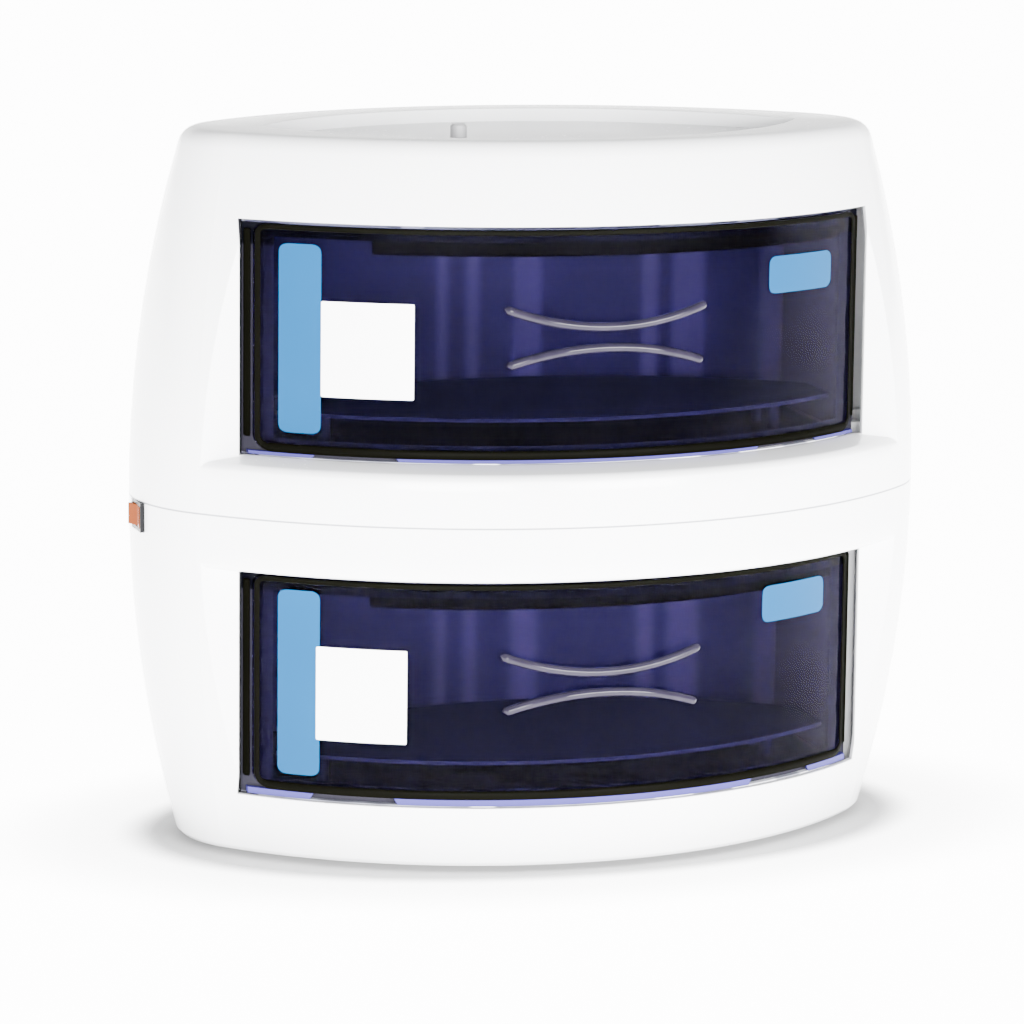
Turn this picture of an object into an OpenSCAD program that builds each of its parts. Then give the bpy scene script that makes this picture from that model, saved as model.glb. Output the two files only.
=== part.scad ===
/* [Case] */
// Width of the case at its widest level
body_w = 420; // [416:1:424]
// Depth of the case at its widest level
body_d = 270; // [268:1:272]
// Height of the case, feet included
body_h = 370; // [368:1:372]
// Radius of the front and of the back, seen from above
front_r = 260; // [258:1:264]
// Radius of the barrel swell, seen from the side
barrel_r = 655; // [640:5:680]
// Height of the seam between the two shells
seam_z = 181; // [180:0.5:182]
// Wall thickness of the shells
wall = 3; // [2.5:0.1:3.2]
// Rounding of the top rim
rim_r = 11; // [9:0.5:12]
// Height of the rubber feet
foot_h = 3; // [2.5:0.5:3]

/* [Openings] */
// Bottom edge of the lower opening, and of the upper one
open_z0 = [35, 210]; // [35:1:210]
// Height of the lower opening, and of the upper one
open_h = [115.5, 119]; // [114:0.5:120]
// Half width of both openings
open_x = 166; // [165:0.5:167]
// How far the openings lie behind the widest level of the front
face_off = 16.5; // [16:0.5:17]

/* [Drawers] */
// Height of the lower front panel, and of the upper one
panel_h = [110, 114.5]; // [108:0.5:115]
// Half width of the front panels
panel_x = 158.5; // [157:0.5:159]
// Thickness of the front panels
panel_t = 4; // [3:0.5:4]
// Width of the dark seal along the bottom edge of a front panel
seal_w = 4.5; // [3:0.5:6]
// Width of the dark seal along its other edges
seal_side = 2.5; // [2:0.5:4]
// Half length of a finger ridge
grip_x = 51; // [40:1:55]
// How far a finger ridge stands out
grip_out = 6; // [4:0.5:8]
// How far a drawer slides out before its lugs meet the stops
travel = 75; // [60:1:75]
// How far the finger ridges sit right of the middle
grip_mid = 8; // [0:1:12]
// Thickness of a finger ridge
grip_t = 4.5; // [3:0.5:6]

/* [Lamps] */
// Length of a lamp between its cap ends
lamp_l = 288; // [284:1:289]
// Diameter of a lamp
lamp_d = 16; // [15:0.5:16]

/* [Hidden] */
half_w = body_w / 2;
half_d = body_d / 2;
// The outline from above is four tangent arcs
side_r = (2 * front_r * half_d - half_w * half_w - half_d * half_d) / (2 * (front_r - half_w));
side_x = half_w - side_r;
front_y = front_r - half_d;
sector_a = atan2(side_x, front_y);
lap_a = 5;
lap_step = 0.04;
trim = 3;
foot_bevel = 2;
core_r = 150;
core_side = 8;
core_x = 100;
core_y = 40;
core_tip = 152;
far = 400;

face_r = front_r - face_off;
pillar_y = -56;
ledge_bend = 11;
ledge_drop = 2.4;
ledge_r = 5.5;
tier_name_low = 0;
tier_name_top = 1;

panel_r = face_r - 2;
panel_z = [4, 2.5];
flange_r = panel_r - panel_t;
flange_t = 2;
flange_x = 163;
tub_x = 155;
tub_back = 37;
tub_wall = 2.5;
tub_z = 0.6;
tub_top = 100;
lip_gap = 0.2;
notch_x = [92, 135];
rib_z = 50;
rib_out = 3;
tray_x = 147;
tray_back = 31;
tray_side = -20;
tray_z = 17;
grip_z = [58.6, 66];
grip_sag = [9, 12];
grip_step = 1.5;
lug_t = 3.5;
lug_z = [7, 12];

liner_x = 162;
liner_t = 1.6;
liner_y0 = -43.5;
liner_y1 = 41;
liner_top = 142;
liner_floor = 0.3;

lamp_z = 128;
holder_x = lamp_l / 2;
dish_x = 144;
dish_z = 363;
dish_near = -92;
dish_far = 78;
dish_tip = -3;

cover_x = 100;
cover_z = [45, 315];
cover_gap = 0.4;
cover_screw_x = 90;
cover_screw_z = [56, 304];

post_x = 172;
post_y = 20;
post_r = 5;
post_head_z = 168;
screw_r = 2;

switch_y = -10;
switch_z = 173.2;
switch_seat = -207.5;
switch_deep = 17.5;
pivot_x = -204.6;
rock_tilt = 9.5;
latch_x = 120;
latch_z = 70;
latch_r = 2;
gland_x = 62;
gland_z = 70;
foot_at = [122, 52];
peg_at = [-39.5, -4];
peg_h = body_h - dish_z;
$fn = 96;

function inset(z) = barrel_r - sqrt(pow(barrel_r, 2) - pow(z - seam_z, 2));
function back_y(x, z, off = 0) = -front_y + sqrt(pow(front_r - off - inset(z), 2) - x * x);
function swell(r, z0, z1, n) = [for (i = [0:n]) let (z = z0 + (z1 - z0) * i / n) [r - inset(z), z]];
lean = asin((body_h - rim_r - seam_z) / barrel_r);
rim_z = body_h - rim_r + rim_r * sin(lean);

// Each of these gives the edge of the case in section, from its lowest point to its highest
upper_edge = function (r) concat(
    swell(r, seam_z - trim, rim_z, 9),
    [for (k = [1:5]) let (a = lean + (90 - lean) * k / 5)
        [r - inset(rim_z) + rim_r * (cos(a) - cos(lean)), body_h - rim_r + rim_r * sin(a)]]);
lower_edge = function (r) let (z = foot_h + foot_bevel)
    concat([[r - inset(z) - foot_bevel - trim, foot_h - trim]], swell(r, z, seam_z + trim, 9));
upper_room = function (r) swell(r, seam_z - 1, body_h - wall + trim, 7);
lower_room = function (r) swell(r, foot_h + wall - trim, seam_z + 1, 7);
whole_edge = function (r) swell(r, cover_z[0] - 5, cover_z[1] + 5, 12);

// A wedge of turned section; spare lengthens it above and below its edge
module sector(edge, core, mid, half, spare = 0) {
    foot = edge[0];
    head = edge[len(edge) - 1];
    ends = spare > 0 ? [[foot.x, foot.y - spare], [head.x, head.y + spare]] : [];
    rotate([0, 0, mid - half]) rotate_extrude(angle = 2 * half)
        polygon(concat([[core, foot.y - spare]], spare > 0 ? [ends[0]] : [], edge, spare > 0 ? [ends[1]] : [],
            [[core, head.y + spare]]));
}

// The side arcs run a little way under the big arcs, so that no two faces are tangent, and the whole is
// trimmed flat below and above, between low and high where these are given
module barrel(edge, off = 0, low = undef, high = undef) {
    big = edge(front_r - off);
    small = edge(side_r - off - lap_step);
    z0 = is_undef(low) ? big[0].y : low;
    z1 = is_undef(high) ? big[len(big) - 1].y : high;
    intersection() {
        union() {
            for (s = [-1, 1]) {
                translate([0, -s * front_y, 0]) sector(big, core_r, 90 * s, sector_a, 1);
                translate([s * side_x, 0, 0])
                    sector(small, core_side, 90 - 90 * s, 90 - sector_a + lap_a, 1.5);
            }
            translate([0, 0, z0 - trim]) linear_extrude(z1 - z0 + 2 * trim)
                polygon([[-core_tip, 0], [-core_x, -core_y], [core_x, -core_y], [core_tip, 0],
                    [core_x, core_y], [-core_x, core_y]]);
        }
        translate([-body_w, -body_w, z0]) cube([2 * body_w, 2 * body_w, z1 - z0]);
    }
}

// A plate or ring piece that follows the front, between two radii
module front_band(r0, r1, z0, z1, x)
    intersection() {
        translate([0, front_y, z0]) difference() {
            cylinder(r = r1, h = z1 - z0, $fn = 240);
            translate([0, 0, -1]) cylinder(r = r0, h = z1 - z0 + 2, $fn = 240);
        }
        translate([-x, -half_d - 10, z0 - 1]) cube([2 * x, half_d + 10, z1 - z0 + 2]);
    }

// The space in front of a drawer: flush with the barrel at one end, a rounded ledge at the other
module recess(tier, grow = 0) {
    up = tier == tier_name_low ? 1 : -1;
    ledge = tier == tier_name_low ? open_z0[0] + open_h[0] : open_z0[1];
    last = tier == tier_name_low ? 15 : body_h - 20;
    bend = face_r + ledge_bend - grow;
    lift = ledge_drop + grow + ledge_r;
    turn = [for (a = [90:-15:15]) [bend + ledge_r * cos(a), ledge + up * (lift - ledge_r * sin(a))]];
    edge = concat([[face_r - grow, ledge + up * grow]], turn,
        [[front_r + 20, ledge + up * (lift - ledge_r * sin(15))], [front_r + 20, last], [face_r - grow, last]]);
    intersection() {
        translate([0, front_y, 0]) rotate([0, 0, -140]) rotate_extrude(angle = 100) polygon(edge);
        translate([-half_w, -200, 0]) cube([body_w, 200 + pillar_y + grow, far]);
    }
}

module opening(tier)
    translate([-open_x, -200, open_z0[tier]]) cube([2 * open_x, 156, open_h[tier]]);

module lens(grow, z0, z1) {
    near_sag = dish_tip - dish_near;
    far_sag = dish_far - dish_tip;
    near_r = (dish_x * dish_x + near_sag * near_sag) / (2 * near_sag);
    far_r = (dish_x * dish_x + far_sag * far_sag) / (2 * far_sag);
    translate([0, 0, z0]) intersection() {
        translate([0, dish_near + near_r, 0]) cylinder(r = near_r + grow, h = z1 - z0, $fn = 180);
        translate([0, dish_far - far_r, 0]) cylinder(r = far_r + grow, h = z1 - z0, $fn = 180);
    }
}

module at_posts() for (x = [-post_x, post_x], y = [-post_y, post_y]) translate([x, y, 0]) children();

module cover_window()
    difference() {
        translate([-cover_x, 60, cover_z[0]]) cube([2 * cover_x, 120, cover_z[1] - cover_z[0]]);
        translate([0, -front_y, 0]) sector(whole_edge(front_r - wall - cover_gap), core_r - 20, 90, 40);
    }

// The blocks that the rear cover is screwed to
module cover_ear(x, z)
    intersection() {
        translate([x - (x < 0 ? 16 : 9), back_y(x, z) - 18, z - 9]) cube([25, 30, 18]);
        translate([0, -front_y, 0]) sector(whole_edge(front_r - wall + 0.5), core_r, 90, 40);
    }

module cover_hole(x, z, r) translate([x, back_y(x, z) - 15, z]) rotate([-90, 0, 0]) cylinder(r = r, h = 30);

module upper_shell() color("white") difference() {
    union() {
        difference() {
            barrel(upper_edge, low = seam_z);
            difference() {
                barrel(upper_room, wall, high = body_h - wall);
                recess(tier_name_top, wall);
                lens(wall, dish_z - wall, body_h);
            }
        }
        for (x = [-cover_screw_x, cover_screw_x]) cover_ear(x, cover_screw_z[1]);
        at_posts() translate([0, 0, seam_z]) cylinder(r = post_r, h = 30);
        for (s = [-1, 1], y = [-post_y, post_y]) mirror([s < 0 ? 1 : 0, 0, 0])
            translate([post_x + post_r - 1, y - 1.5, seam_z + 0.5]) cube([half_w - post_x - post_r - 4, 3, 29]);
    }
    recess(tier_name_top);
    opening(tier_name_top);
    cover_window();
    lens(0, dish_z, body_h + 5);
    at_posts() translate([0, 0, seam_z - 1]) cylinder(r = screw_r + 0.02, h = 27);
    for (x = [-cover_screw_x, cover_screw_x]) cover_hole(x, cover_screw_z[1], 1.82);
    translate([peg_at.x, peg_at.y, dish_z - 10]) cylinder(r = 2.05, h = 20);
}

module lower_shell() color("white") difference() {
    union() {
        difference() {
            barrel(lower_edge, low = foot_h, high = seam_z);
            difference() {
                barrel(lower_room, wall, low = foot_h + wall);
                recess(tier_name_low, wall);
            }
        }
        for (x = [-cover_screw_x, cover_screw_x]) cover_ear(x, cover_screw_z[0]);
        at_posts() translate([0, 0, foot_h + 1]) cylinder(r = post_r, h = seam_z - foot_h - 1);
        // A thicker wall round the switch
        translate([-side_x, 0, switch_z - 9.5]) rotate([0, 0, 177]) rotate_extrude(angle = 22)
            translate([side_r - wall - 4, 0]) square([wall + 2.8, 17]);
        for (x = [-110, -40, 40, 110]) translate([x - 1, -60, foot_h + 1])
            cube([2, 95, open_z0[0] - liner_t + liner_floor - foot_h - 1]);
    }
    recess(tier_name_low);
    opening(tier_name_low);
    cover_window();
    at_posts() {
        translate([0, 0, -1]) cylinder(r = 3.6, h = post_head_z + 1);
        cylinder(r = screw_r + 0.1, h = seam_z + 1);
    }
    for (x = [-1, 1], y = [-1, 1]) translate([x * foot_at.x, y * foot_at.y, 0]) cylinder(r = 3.05, h = 10);
    for (x = [-cover_screw_x, cover_screw_x]) cover_hole(x, cover_screw_z[0], 1.82);
    translate([-half_w - 10, switch_y - 10.7, switch_z - 7.7]) cube([half_w + 10 + switch_seat, 21.4, 7.6 + 7.7]);
    translate([-half_w - 10, switch_y - 9.7, switch_z - 7.1]) cube([30, 19.4, 14.2]);
}

module rear_cover() color("whitesmoke") difference() {
    intersection() {
        translate([0, -front_y, 0]) sector(whole_edge(front_r - cover_gap), core_r, 90, 40);
        translate([-cover_x + 0.4, 60, cover_z[0] + 0.4])
            cube([2 * cover_x - 0.8, 120, cover_z[1] - cover_z[0] - 0.8]);
    }
    translate([0, -front_y, 0]) sector(whole_edge(front_r - wall - cover_gap + 0.1), core_r - 20, 90, 45);
    for (z = [95:9:145], x = [-70, 10]) translate([x, 60, z]) cube([60, 90, 3]);
    for (z = [225:9:275], x = [-70, 10]) translate([x, 60, z]) cube([60, 90, 3]);
    for (x = [-cover_screw_x, cover_screw_x], z = cover_screw_z) {
        cover_hole(x, z, 1.95);
        translate([x, back_y(x, z) - 2.2, z]) rotate([-90, 0, 0]) cylinder(r = 3.6, h = 10);
    }
    translate([gland_x, 60, gland_z]) rotate([-90, 0, 0]) cylinder(r = 6.1, h = 100);
}

module pan_head(r, head_r, head_h, l) {
    cylinder(r = head_r, h = head_h);
    translate([0, 0, -l]) cylinder(r = r, h = l + 0.5);
}

module cover_screws() color("silver")
    for (x = [-cover_screw_x, cover_screw_x], z = cover_screw_z)
        translate([x, back_y(x, z) - 2.2, z]) rotate([-90, 0, 0]) difference() {
            pan_head(1.8, 3.3, 2, 12);
            for (a = [0, 90]) rotate([0, 0, a]) translate([-2, -0.4, 1.2]) cube([4, 0.8, 2]);
        }

module shell_screws() color("silver") at_posts() translate([0, 0, post_head_z]) mirror([0, 0, 1]) difference() {
    pan_head(screw_r, 3.4, 2.6, 25);
    for (a = [0, 90]) rotate([0, 0, a]) translate([-2.2, -0.45, 1.6]) cube([4.4, 0.9, 2]);
}

module feet() color("dimgray")
    for (x = [-1, 1], y = [-1, 1]) translate([x * foot_at.x, y * foot_at.y, 0]) {
        cylinder(r1 = 8.5, r2 = 9, h = 1);
        translate([0, 0, 0.9]) cylinder(r = 9, h = foot_h - 0.9);
        cylinder(r = 3, h = foot_h + wall + 1);
    }

module top_peg() color("gray") translate([peg_at.x, peg_at.y, dish_z]) {
    cylinder(r = 4.3, h = peg_h - 1);
    translate([0, 0, peg_h - 1.05]) cylinder(r1 = 4.3, r2 = 3.3, h = 1.05);
    translate([0, 0, -wall - 2]) cylinder(r = 2, h = 6);
}

// The inner box of a tier: floor, side and back walls, and ceiling with slots for the lamp holders
module liner(tier, near_r) translate([0, 0, open_z0[tier]]) difference() {
    union() {
        for (s = [-1, 1]) translate([s * (liner_x - liner_t / 2) - liner_t / 2, liner_y0, liner_floor - liner_t])
            cube([liner_t, liner_y1 - liner_y0, liner_top + 2 * liner_t - liner_floor]);
        translate([-liner_x, liner_y1 - liner_t, liner_floor - liner_t])
            cube([2 * liner_x, liner_t, liner_top + 2 * liner_t - liner_floor]);
        translate([-liner_x, liner_y0, liner_floor - liner_t]) cube([2 * liner_x, liner_y1 - liner_y0, liner_t]);
        front_band(core_r, near_r[0], liner_floor - liner_t, liner_floor, liner_x - 6);
        translate([-liner_x, liner_y0, liner_top]) cube([2 * liner_x, liner_y1 - liner_y0, liner_t]);
        front_band(core_r, near_r[1], liner_top, liner_top + liner_t, liner_x - 12);
    }
    for (s = [-1, 1]) translate([s * liner_x - 10, liner_y0 - 1, 118]) cube([20, 4, 40]);
    for (s = [-1, 1]) translate([s * latch_x, 0, latch_z]) rotate([-90, 0, 0]) cylinder(r = latch_r + 0.5, h = 60);
    translate([-30, 0, lamp_z + 4]) rotate([-90, 0, 0]) cylinder(r = 5, h = 60);
}

module lower_liner() color("gainsboro") liner(tier_name_low, [face_r - 4, front_r - 20]);

module upper_liner() color("gainsboro") {
    liner(tier_name_top, [face_r - 4, front_r - 29]);
    leg_z = open_z0[0] + liner_top + liner_t;
    for (x = [-110, 0, 110]) translate([x - 1, -35, leg_z])
        cube([2, 65, open_z0[1] - leg_z - liner_t + liner_floor + 0.5]);
}

module runners(tier) color("lightgray") translate([0, 0, open_z0[tier]])
    for (s = [0, 1]) mirror([s, 0, 0]) translate([tub_x + 1, liner_y0 + 0.5, 0]) {
        reach = liner_x - liner_t - tub_x - 1;
        deep = liner_y1 - liner_y0 - liner_t - 0.5;
        translate([0, 0, rib_z - 6.5]) cube([reach, deep, 4]);
        translate([0, 0, rib_z + 2.5]) cube([reach, deep, 4]);
        translate([0, tub_back - lug_t - travel - 1.8 - liner_y0, rib_z + 6]) cube([reach, 1.2, lug_z[1] - 6]);
        translate([reach - 1, 0, rib_z - 6.5]) cube([1, deep, 13]);
    }
module lower_runners() runners(tier_name_low);
module upper_runners() runners(tier_name_top);

// Bent sheet above a lamp
module reflector(tier) color("silver") {
    top = open_z0[tier] + liner_top;
    half = [[0, 0], [13, 0], [36, -9], [36, -10], [35.8, -10], [12.8, -0.9], [0, -0.9]];
    flip = [for (i = [len(half) - 2:-1:1]) [-half[i].x, half[i].y]];
    translate([-140, 0, top]) rotate([90, 0, 90]) linear_extrude(280) polygon(concat(half, flip));
}
module lower_reflector() reflector(tier_name_low);
module upper_reflector() reflector(tier_name_top);

module along_lamp(tier, x) translate([x, 0, open_z0[tier] + lamp_z]) rotate([0, 90, 0]) children();

module lamp(tier) color([0.85, 0.88, 0.95]) along_lamp(tier, -lamp_l / 2 + 5) difference() {
    cylinder(d = lamp_d - 0.6, h = lamp_l - 10);
    translate([0, 0, 1.5]) cylinder(d = lamp_d - 2.2, h = lamp_l - 13);
}
module lower_lamp() lamp(tier_name_low);
module upper_lamp() lamp(tier_name_top);

module lamp_caps(tier) color("silver") for (s = [0, 1]) mirror([s, 0, 0]) along_lamp(tier, lamp_l / 2 - 10) {
    difference() {
        cylinder(d = lamp_d, h = 10);
        translate([0, 0, -1]) cylinder(d = lamp_d - 0.6, h = 6);
    }
    for (y = [-2.4, 2.4]) translate([0, y, 9]) cylinder(r = 1.1, h = 7.4);
}
module lower_lamp_caps() lamp_caps(tier_name_low);
module upper_lamp_caps() lamp_caps(tier_name_top);

module lamp_holders(tier) color("white") for (s = [0, 1]) mirror([s, 0, 0])
    translate([0, 0, open_z0[tier] + lamp_z]) difference() {
        union() {
            rotate([0, 90, 0]) translate([0, 0, holder_x + 0.3]) cylinder(r = 9.5, h = 13);
            translate([holder_x + 0.3, -7, 0]) cube([13, 14, liner_top - lamp_z]);
        }
        for (y = [-2.4, 2.4]) translate([holder_x, y, 0]) rotate([0, 90, 0]) cylinder(r = 1.15, h = 9);
        translate([holder_x, -3.6, -15]) cube([4, 7.2, 14]);
    }
module lower_lamp_holders() lamp_holders(tier_name_low);
module upper_lamp_holders() lamp_holders(tier_name_top);

// Ballast with its bent feet, on the back of a liner
module ballast(tier) color("dimgray") translate([-62, liner_y1, open_z0[tier] + 62]) difference() {
    union() {
        translate([-32, 0, -14]) cube([64, 26, 28]);
        translate([-44, 0, -10]) cube([88, 2, 20]);
        for (x = [-26:6.5:26]) translate([x - 1, 25, -12]) cube([2, 2, 24]);
    }
    for (x = [-38, 38]) translate([x, -1, 0]) rotate([-90, 0, 0]) cylinder(r = 2.1, h = 5);
}
module lower_ballast() ballast(tier_name_low);
module upper_ballast() ballast(tier_name_top);

module ballast_screws() color("silver")
    for (tier = [0, 1], x = [-38, 38]) translate([-62 + x, liner_y1 + 2, open_z0[tier] + 62])
        rotate([-90, 0, 0]) difference() {
            cylinder(r = 3.2, h = 2);
            for (a = [0, 90]) rotate([0, 0, a]) translate([-2, -0.4, 1.2]) cube([4, 0.8, 2]);
        }

module starter(tier) color("white") translate([40, liner_y1, open_z0[tier] + 60]) {
    difference() {
        translate([-15, 0, -15]) cube([30, 9, 30]);
        translate([0, 4, 0]) rotate([-90, 0, 0]) cylinder(r = 11, h = 10);
    }
}
module lower_starter_socket() starter(tier_name_low);
module upper_starter_socket() starter(tier_name_top);

module starters() color("lightgray") for (tier = [0, 1])
    translate([40, liner_y1 + 4, open_z0[tier] + 60]) rotate([-90, 0, 0]) {
        cylinder(r = 10.7, h = 30);
        translate([0, 0, 29.9]) cylinder(r1 = 10.7, r2 = 9.2, h = 2);
    }

module terminal_block() color("ivory") translate([0, liner_y1, open_z0[0] + 12]) difference() {
    translate([-20, 0, 0]) cube([40, 14, 16]);
    for (x = [-13, 0, 13]) {
        translate([x, 7, 10]) cylinder(r = 2, h = 20);
        translate([x, 5, 6]) rotate([-90, 0, 0]) cylinder(r = 2.4, h = 12);
    }
}

// A wire through a list of points
module wire(path, r)
    for (i = [0:len(path) - 2]) {
        v = path[i + 1] - path[i];
        translate(path[i]) rotate([0, acos(v.z / norm(v)), atan2(v.y, v.x)])
            translate([0, 0, -r / 2]) cylinder(r = r, h = norm(v) + r, $fn = 8);
    }

module wiring() {
    back = liner_y1 + 7;
    low = open_z0[0] + 12;
    tip = switch_seat + switch_deep + 8.9 + 1.3;
    color("black") wire([[gland_x, 104, gland_z], [gland_x, 70, gland_z], [13, 62, 40], [13, back, low - 6],
        [13, back, low - 1]], 1.4);
    color("dodgerblue") wire([[-13, back, low - 1], [-13, back, low - 8], [-120, 66, low - 8],
        [-176, 34, 60], [-181, 34, 160], [tip, 10, switch_z - 1], [tip, switch_y + 6, switch_z]], 1.2);
}

module cord_gland() color([0.08, 0.08, 0.08]) translate([gland_x, 0, gland_z]) {
    seat = back_y(gland_x, gland_z);
    rotate([-90, 0, 0]) difference() {
        union() {
            translate([0, 0, seat - 12]) cylinder(r = 6, h = 22);
            translate([0, 0, seat + 2]) cylinder(r = 8.5, h = 3);
            translate([0, 0, seat + 9.5]) cylinder(r1 = 6, r2 = 5, h = 7.5);
            translate([0, 0, seat - 10]) cylinder(r = 7.6, h = 3);
        }
        translate([0, 0, seat - 13]) cylinder(r = 3.6, h = 40);
        for (z = [8:3:14]) translate([-8, -8, seat + z]) difference() {
            cube([16, 16, 1]);
            translate([8, 8, -1]) cylinder(r = 4.6, h = 3);
        }
    }
}

module switch_housing() color([0.07, 0.07, 0.07]) translate([0, switch_y, switch_z]) difference() {
    union() {
        translate([switch_seat - 2, -10.5, -7.5]) cube([2, 21, 15]);
        translate([switch_seat - 0.1, -9.5, -6.9]) cube([switch_deep, 19, 13.8]);
    }
    translate([switch_seat - 5, -9.1, -5.7]) cube([15, 18.2, 11.4]);
    translate([pivot_x, 0, -8]) cylinder(r = 1.25, h = 14.7);
}

// The rocker's face is a shallow V; it is drawn with its rear half standing out
module switch_rocker() color([0.95, 0.45, 0.05]) translate([pivot_x, switch_y, switch_z]) {
    rotate([0, 0, rock_tilt]) translate([0, 0, -5.4]) linear_extrude(10.8)
        polygon([[-6.6, -7.8], [-4.6, 0], [-6.6, 7.8], [2.2, 6], [3.2, 0], [2.2, -6]]);
    translate([0, 0, -6.4]) cylinder(r = 1.2, h = 12.8);
}

module switch_terminals() color("gold") translate([switch_seat + switch_deep - 0.1, switch_y, switch_z])
    for (y = [-6, 0, 6]) translate([0, y - 2.3, -0.4]) cube([9, 4.6, 0.8]);

module latch_bodies() color("dimgray") for (tier = [0, 1])
    translate([latch_x, liner_y1, open_z0[tier] + latch_z]) difference() {
        translate([-10, 0, -5]) cube([20, 16, 10]);
        translate([0, -1, 0]) rotate([-90, 0, 0]) cylinder(r = latch_r + 0.05, h = 15.5);
    }

module latch_pin(tier) color("crimson") translate([latch_x, tub_back + 0.3, open_z0[tier] + latch_z])
    rotate([-90, 0, 0]) {
        translate([0, 0, 0.8]) cylinder(r = latch_r, h = 14);
        sphere_cap();
    }
module sphere_cap() cylinder(r1 = latch_r - 0.7, r2 = latch_r, h = 0.85);
module lower_latch_pin() latch_pin(tier_name_low);
module upper_latch_pin() latch_pin(tier_name_top);

module drawer_tub(tier) color([0.45, 0.42, 0.75]) translate([0, 0, open_z0[tier]]) {
    front_in = liner_y0 - 4;
    lip_z = panel_z[tier] - lip_gap;
    difference() {
        union() {
            translate([-tub_x, front_in - 1, tub_z]) cube([2 * tub_x, tub_back - front_in + 1, tub_wall]);
            front_band(core_r, flange_r - 0.5, tub_z, tub_z + tub_wall, tub_x);
            for (s = [-1, 1]) translate([s * (tub_x - tub_wall / 2) - tub_wall / 2, front_in, tub_z])
                cube([tub_wall, tub_back - front_in, tub_top - tub_z]);
            translate([-tub_x, tub_back - tub_wall, tub_z]) cube([2 * tub_x, tub_wall, tub_top - tub_z]);
            for (s = [-1, 1]) mirror([s < 0 ? 1 : 0, 0, 0]) translate([tub_x - 0.5, liner_y0 + 4, rib_z - 2.1])
                cube([rib_out + 0.5, tub_back - liner_y0 - 4, 4.2]);
            for (s = [-1, 1]) mirror([s < 0 ? 1 : 0, 0, 0])
                translate([tub_x - 0.5, tub_back - lug_t, rib_z + lug_z[0]])
                    cube([rib_out + 0.5, lug_t, lug_z[1] - lug_z[0]]);
            difference() {
                front_band(flange_r - flange_t, flange_r, tub_z, panel_z[tier] + panel_h[tier], flange_x);
                front_band(flange_r - flange_t - 9, flange_r + 9, 9, panel_h[tier] - 4, tub_x - 6);
            }
            front_band(flange_r - 2, panel_r - 0.5, tub_z, lip_z, flange_x - 2);
        }
        // Finger notches in the lip
        for (s = [0, 1]) mirror([s, 0, 0]) intersection() {
            front_band(flange_r - 0.8, panel_r + 1, -1, lip_z + 1, notch_x[1] + 5);
            translate([0, -40, 0]) rotate([90, 0, 0]) linear_extrude(110)
                polygon([[notch_x[0], -2], [notch_x[1], -2], [notch_x[1] - 3, lip_z + 0.1],
                    [notch_x[0] + 3, lip_z + 0.1]]);
        }
    }
}
module lower_tub() drawer_tub(tier_name_low);
module upper_tub() drawer_tub(tier_name_top);

module front_panel(tier) color([0.16, 0.15, 0.36]) translate([0, 0, open_z0[tier]])
    front_band(panel_r - panel_t, panel_r, panel_z[tier], panel_z[tier] + panel_h[tier], panel_x);
module lower_front() front_panel(tier_name_low);
module upper_front() front_panel(tier_name_top);

module front_seal(tier) color([0.07, 0.07, 0.05]) translate([0, 0, open_z0[tier]]) difference() {
    top = panel_z[tier] + panel_h[tier];
    front_band(panel_r, panel_r + 0.9, panel_z[tier], top, panel_x);
    front_band(panel_r - 9, panel_r + 9, panel_z[tier] + seal_w, top - seal_side, panel_x - seal_side);
}
module lower_seal() front_seal(tier_name_low);
module upper_seal() front_seal(tier_name_top);

// An arched bar with round ends, sag below its ends when up is 1
module arch(half, sag, t, up) {
    r = (half * half + sag * sag) / (2 * sag);
    a = asin(half / r);
    mirror([0, up > 0 ? 0 : 1]) translate([0, r]) {
        intersection() {
            difference() {
                circle(r = r + t / 2);
                circle(r = r - t / 2);
            }
            polygon([[0, 0], 2 * r * [-sin(a), -cos(a)], 2 * r * [sin(a), -cos(a)]]);
        }
        for (s = [-1, 1]) translate(r * [s * sin(a), -cos(a)]) circle(r = t / 2 + 0.3, $fn = 32);
    }
}

module finger_grips(tier) color([0.12, 0.11, 0.2]) translate([0, 0, open_z0[tier]]) intersection() {
    translate([grip_mid, 0, 0]) {
        translate([0, 0, grip_z[1]]) rotate([90, 0, 0]) linear_extrude(160) arch(grip_x, grip_sag[1], grip_t, 1);
        translate([0, 0, grip_z[0]]) rotate([90, 0, 0]) linear_extrude(160) arch(grip_x - grip_step, grip_sag[0], grip_t, -1);
    }
    front_band(panel_r, panel_r + grip_out, 20, 100, 80);
}
module lower_grips() finger_grips(tier_name_low);
module upper_grips() finger_grips(tier_name_top);

// Tray that the bottles and soothers stand on, with a bowed back edge
module drawer_tray(tier) color([0.2, 0.19, 0.3]) translate([0, 0, open_z0[tier] + tub_z + tub_wall]) {
    sag = tray_back - tray_side;
    back_r = (tray_x * tray_x + sag * sag) / (2 * sag);
    translate([0, 0, tray_z]) intersection() {
        translate([0, front_y, 0]) cylinder(r = flange_r - flange_t - 2.5, h = 2, $fn = 240);
        translate([0, tray_back - back_r, 0]) cylinder(r = back_r, h = 2, $fn = 240);
        translate([-tray_x, -half_d, -1]) cube([2 * tray_x, body_d, 4]);
    }
    for (x = [-120, 120], y = [-46, -20]) translate([x, y, 0]) cylinder(r = 3, h = tray_z + 0.5);
    translate([0, tray_back - 12, 0]) cylinder(r = 3, h = tray_z + 0.5);
}
module lower_tray() drawer_tray(tier_name_low);
module upper_tray() drawer_tray(tier_name_top);

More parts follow.
